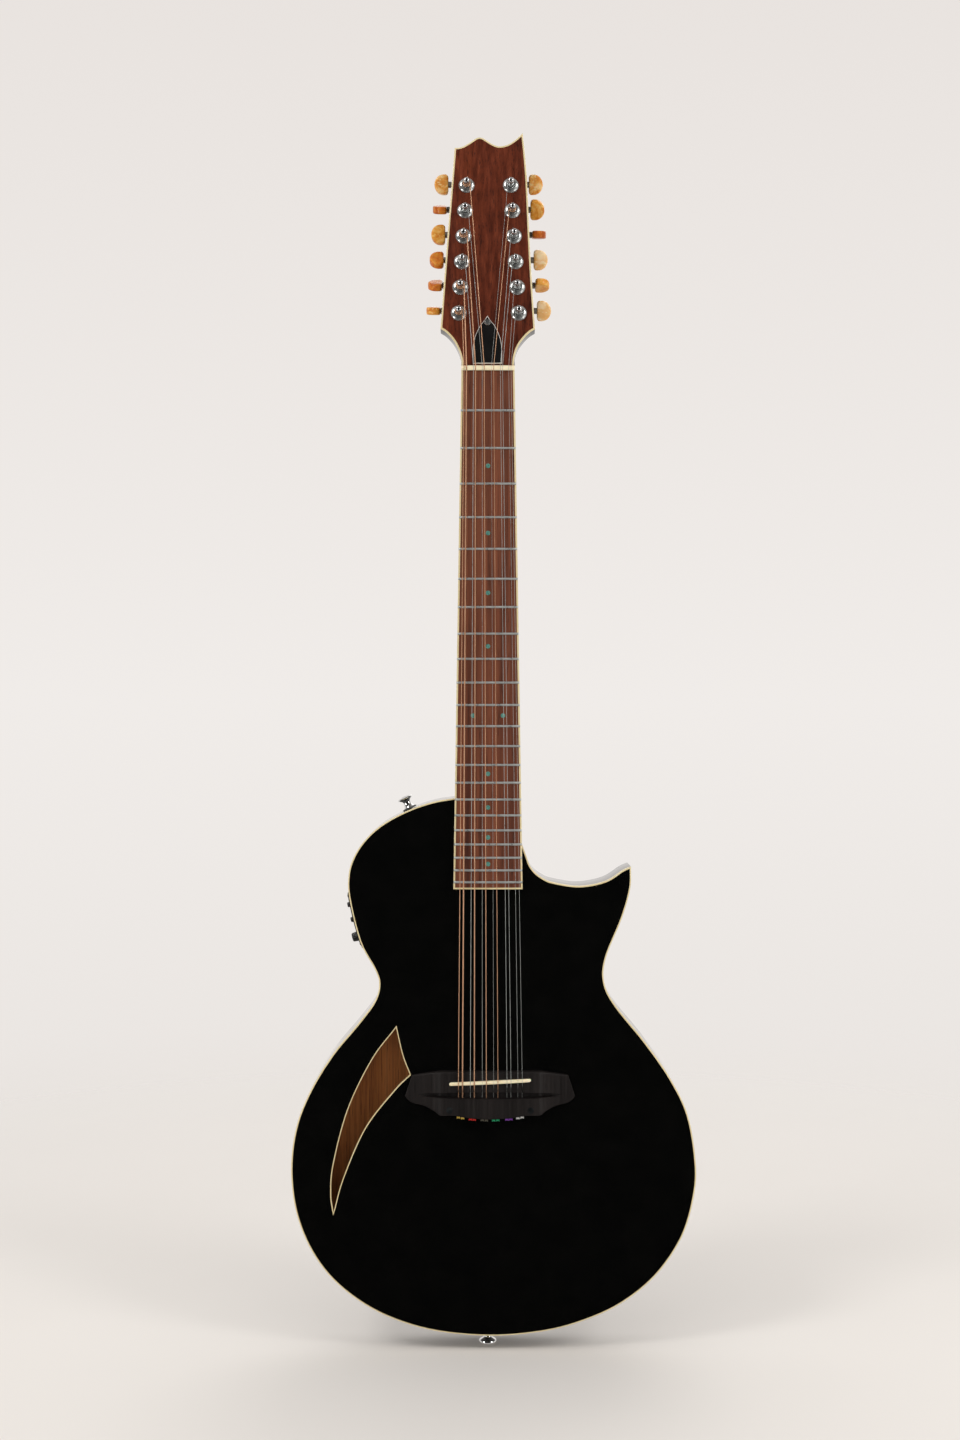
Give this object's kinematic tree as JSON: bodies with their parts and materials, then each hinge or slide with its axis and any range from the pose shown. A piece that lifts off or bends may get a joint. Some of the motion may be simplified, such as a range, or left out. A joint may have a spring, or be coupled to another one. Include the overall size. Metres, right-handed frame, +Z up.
{
  "type": "twelve-string acoustic-electric guitar",
  "caption": "Slim-bodied single-cutaway acoustic-electric guitar with paired strings, crescent soundhole, turning geared tuner keys and side-mounted preamp knobs.",
  "frame": {"origin": "centre of the outer face of the end strap button, at mid-depth of the body", "axes": "+Z up the neck towards the headstock, -Y out of the front (string side), +Y out of the back, +X towards the treble side and the cutaway"},
  "size_m": [0.371, 0.062, 1.1183],
  "materials": {
    "black_lacquer": "high-gloss black lacquer over wood",
    "cream_binding": "gloss cream plastic",
    "rosewood_face": "satin reddish-brown rosewood veneer",
    "fingerboard_wood": "satin oiled rosewood with nickel frets",
    "bridge_wood": "satin dark ebonised wood",
    "bone": "satin moulded bone substitute",
    "chrome": "bright chrome plate",
    "dark_metal": "dark plated strip",
    "plain_steel": "drawn steel wire",
    "bronze_winding": "bronze wound wire",
    "key_button": "swirled amber and pearl plastic",
    "black_plastic": "satin black plastic"
  },
  "bodies": {
    "root": {"back_plate": "black_lacquer", "body_binding": "cream_binding", "body_rim": "black_lacquer", "bridge": "bridge_wood", "end_strap_button": "chrome", "fingerboard": "fingerboard_wood", "fingerboard_binding": "cream_binding", "headstock_faceplate": "rosewood_face", "neck": "black_lacquer", "nut": "bone", "output_jack": "chrome", "piezo_pickup": "dark_metal", "preamp_housing": "black_plastic", "saddle": "bone", "soundboard": "black_lacquer", "soundhole_binding": "cream_binding", "string_01": "bronze_winding", "string_02": "bronze_winding", "string_03": "plain_steel", "string_04": "bronze_winding", "string_05": "plain_steel", "string_06": "bronze_winding", "string_07": "plain_steel", "string_08": "bronze_winding", "string_09": "plain_steel", "string_10": "plain_steel", "string_11": "plain_steel", "string_12": "plain_steel", "truss_rod": "plain_steel", "truss_rod_cover": "black_plastic", "tuner_plate_bass": "chrome", "tuner_plate_treble": "chrome", "upper_strap_button": "chrome"},
    "key_bass_1": {"tuner_key_bass_1": "key_button"},
    "post_bass_1": {"string_post_bass_1": "chrome"},
    "key_bass_2": {"tuner_key_bass_2": "key_button"},
    "post_bass_2": {"string_post_bass_2": "chrome"},
    "key_bass_3": {"tuner_key_bass_3": "key_button"},
    "post_bass_3": {"string_post_bass_3": "chrome"},
    "key_bass_4": {"tuner_key_bass_4": "key_button"},
    "post_bass_4": {"string_post_bass_4": "chrome"},
    "key_bass_5": {"tuner_key_bass_5": "key_button"},
    "post_bass_5": {"string_post_bass_5": "chrome"},
    "key_bass_6": {"tuner_key_bass_6": "key_button"},
    "post_bass_6": {"string_post_bass_6": "chrome"},
    "key_treble_1": {"tuner_key_treble_1": "key_button"},
    "post_treble_1": {"string_post_treble_1": "chrome"},
    "key_treble_2": {"tuner_key_treble_2": "key_button"},
    "post_treble_2": {"string_post_treble_2": "chrome"},
    "key_treble_3": {"tuner_key_treble_3": "key_button"},
    "post_treble_3": {"string_post_treble_3": "chrome"},
    "key_treble_4": {"tuner_key_treble_4": "key_button"},
    "post_treble_4": {"string_post_treble_4": "chrome"},
    "key_treble_5": {"tuner_key_treble_5": "key_button"},
    "post_treble_5": {"string_post_treble_5": "chrome"},
    "key_treble_6": {"tuner_key_treble_6": "key_button"},
    "post_treble_6": {"string_post_treble_6": "chrome"},
    "volume_knob": {"volume_knob": "black_plastic"},
    "bass_knob": {"bass_knob": "black_plastic"},
    "treble_knob": {"treble_knob": "black_plastic"}
  },
  "joints": [
    {"name": "key_bass_1_turn", "type": "hinge", "parent": "root", "child": "key_bass_1", "pos_m": [-0.02655, -0.00144, 0.95234], "axis": [-1, 0, 0], "continuous": true},
    {"name": "post_bass_1_turn", "type": "hinge", "parent": "root", "child": "post_bass_1", "pos_m": [-0.02655, -0.0211, 0.94612], "axis": [0, -0.9903, 0.1392], "continuous": true},
    {"name": "key_bass_2_turn", "type": "hinge", "parent": "root", "child": "key_bass_2", "pos_m": [-0.02515, 0.00198, 0.97663], "axis": [-1, 0, 0], "continuous": true},
    {"name": "post_bass_2_turn", "type": "hinge", "parent": "root", "child": "post_bass_2", "pos_m": [-0.02515, -0.01768, 0.97041], "axis": [0, -0.9903, 0.1392], "continuous": true},
    {"name": "key_bass_3_turn", "type": "hinge", "parent": "root", "child": "key_bass_3", "pos_m": [-0.02375, 0.00539, 1.00093], "axis": [-1, 0, 0], "continuous": true},
    {"name": "post_bass_3_turn", "type": "hinge", "parent": "root", "child": "post_bass_3", "pos_m": [-0.02375, -0.01427, 0.9947], "axis": [0, -0.9903, 0.1392], "continuous": true},
    {"name": "key_bass_4_turn", "type": "hinge", "parent": "root", "child": "key_bass_4", "pos_m": [-0.02235, 0.0088, 1.02522], "axis": [-1, 0, 0], "continuous": true},
    {"name": "post_bass_4_turn", "type": "hinge", "parent": "root", "child": "post_bass_4", "pos_m": [-0.02235, -0.01086, 1.01899], "axis": [0, -0.9903, 0.1392], "continuous": true},
    {"name": "key_bass_5_turn", "type": "hinge", "parent": "root", "child": "key_bass_5", "pos_m": [-0.02095, 0.01222, 1.04951], "axis": [-1, 0, 0], "continuous": true},
    {"name": "post_bass_5_turn", "type": "hinge", "parent": "root", "child": "post_bass_5", "pos_m": [-0.02095, -0.00744, 1.04328], "axis": [0, -0.9903, 0.1392], "continuous": true},
    {"name": "key_bass_6_turn", "type": "hinge", "parent": "root", "child": "key_bass_6", "pos_m": [-0.01955, 0.01563, 1.0738], "axis": [-1, 0, 0], "continuous": true},
    {"name": "post_bass_6_turn", "type": "hinge", "parent": "root", "child": "post_bass_6", "pos_m": [-0.01955, -0.00403, 1.06757], "axis": [0, -0.9903, 0.1392], "continuous": true},
    {"name": "key_treble_1_turn", "type": "hinge", "parent": "root", "child": "key_treble_1", "pos_m": [0.02815, -0.00144, 0.95234], "axis": [1, 0, 0], "continuous": true},
    {"name": "post_treble_1_turn", "type": "hinge", "parent": "root", "child": "post_treble_1", "pos_m": [0.02815, -0.0211, 0.94612], "axis": [0, -0.9903, 0.1392], "continuous": true},
    {"name": "key_treble_2_turn", "type": "hinge", "parent": "root", "child": "key_treble_2", "pos_m": [0.02675, 0.00198, 0.97663], "axis": [1, 0, 0], "continuous": true},
    {"name": "post_treble_2_turn", "type": "hinge", "parent": "root", "child": "post_treble_2", "pos_m": [0.02675, -0.01768, 0.97041], "axis": [0, -0.9903, 0.1392], "continuous": true},
    {"name": "key_treble_3_turn", "type": "hinge", "parent": "root", "child": "key_treble_3", "pos_m": [0.02535, 0.00539, 1.00093], "axis": [1, 0, 0], "continuous": true},
    {"name": "post_treble_3_turn", "type": "hinge", "parent": "root", "child": "post_treble_3", "pos_m": [0.02535, -0.01427, 0.9947], "axis": [0, -0.9903, 0.1392], "continuous": true},
    {"name": "key_treble_4_turn", "type": "hinge", "parent": "root", "child": "key_treble_4", "pos_m": [0.02395, 0.0088, 1.02522], "axis": [1, 0, 0], "continuous": true},
    {"name": "post_treble_4_turn", "type": "hinge", "parent": "root", "child": "post_treble_4", "pos_m": [0.02395, -0.01086, 1.01899], "axis": [0, -0.9903, 0.1392], "continuous": true},
    {"name": "key_treble_5_turn", "type": "hinge", "parent": "root", "child": "key_treble_5", "pos_m": [0.02255, 0.01222, 1.04951], "axis": [1, 0, 0], "continuous": true},
    {"name": "post_treble_5_turn", "type": "hinge", "parent": "root", "child": "post_treble_5", "pos_m": [0.02255, -0.00744, 1.04328], "axis": [0, -0.9903, 0.1392], "continuous": true},
    {"name": "key_treble_6_turn", "type": "hinge", "parent": "root", "child": "key_treble_6", "pos_m": [0.02115, 0.01563, 1.0738], "axis": [1, 0, 0], "continuous": true},
    {"name": "post_treble_6_turn", "type": "hinge", "parent": "root", "child": "post_treble_6", "pos_m": [0.02115, -0.00403, 1.06757], "axis": [0, -0.9903, 0.1392], "continuous": true},
    {"name": "volume_knob_turn", "type": "hinge", "parent": "root", "child": "volume_knob", "pos_m": [-0.11889, 0, 0.3752], "axis": [-0.961, 0, -0.2766], "range_deg": [-140, 140]},
    {"name": "bass_knob_turn", "type": "hinge", "parent": "root", "child": "bass_knob", "pos_m": [-0.12335, 0, 0.3907], "axis": [-0.961, 0, -0.2766], "range_deg": [-140, 140]},
    {"name": "treble_knob_turn", "type": "hinge", "parent": "root", "child": "treble_knob", "pos_m": [-0.12637, 0, 0.40432], "axis": [-0.9781, 0, -0.2081], "range_deg": [-140, 140]}
  ],
  "couplings": [
    {"joint": "post_bass_1_turn", "follows": "key_bass_1_turn", "ratio": 0.071429},
    {"joint": "post_bass_2_turn", "follows": "key_bass_2_turn", "ratio": 0.071429},
    {"joint": "post_bass_3_turn", "follows": "key_bass_3_turn", "ratio": 0.071429},
    {"joint": "post_bass_4_turn", "follows": "key_bass_4_turn", "ratio": 0.071429},
    {"joint": "post_bass_5_turn", "follows": "key_bass_5_turn", "ratio": 0.071429},
    {"joint": "post_bass_6_turn", "follows": "key_bass_6_turn", "ratio": 0.071429},
    {"joint": "post_treble_1_turn", "follows": "key_treble_1_turn", "ratio": -0.071429},
    {"joint": "post_treble_2_turn", "follows": "key_treble_2_turn", "ratio": -0.071429},
    {"joint": "post_treble_3_turn", "follows": "key_treble_3_turn", "ratio": -0.071429},
    {"joint": "post_treble_4_turn", "follows": "key_treble_4_turn", "ratio": -0.071429},
    {"joint": "post_treble_5_turn", "follows": "key_treble_5_turn", "ratio": -0.071429},
    {"joint": "post_treble_6_turn", "follows": "key_treble_6_turn", "ratio": -0.071429}
  ]
}
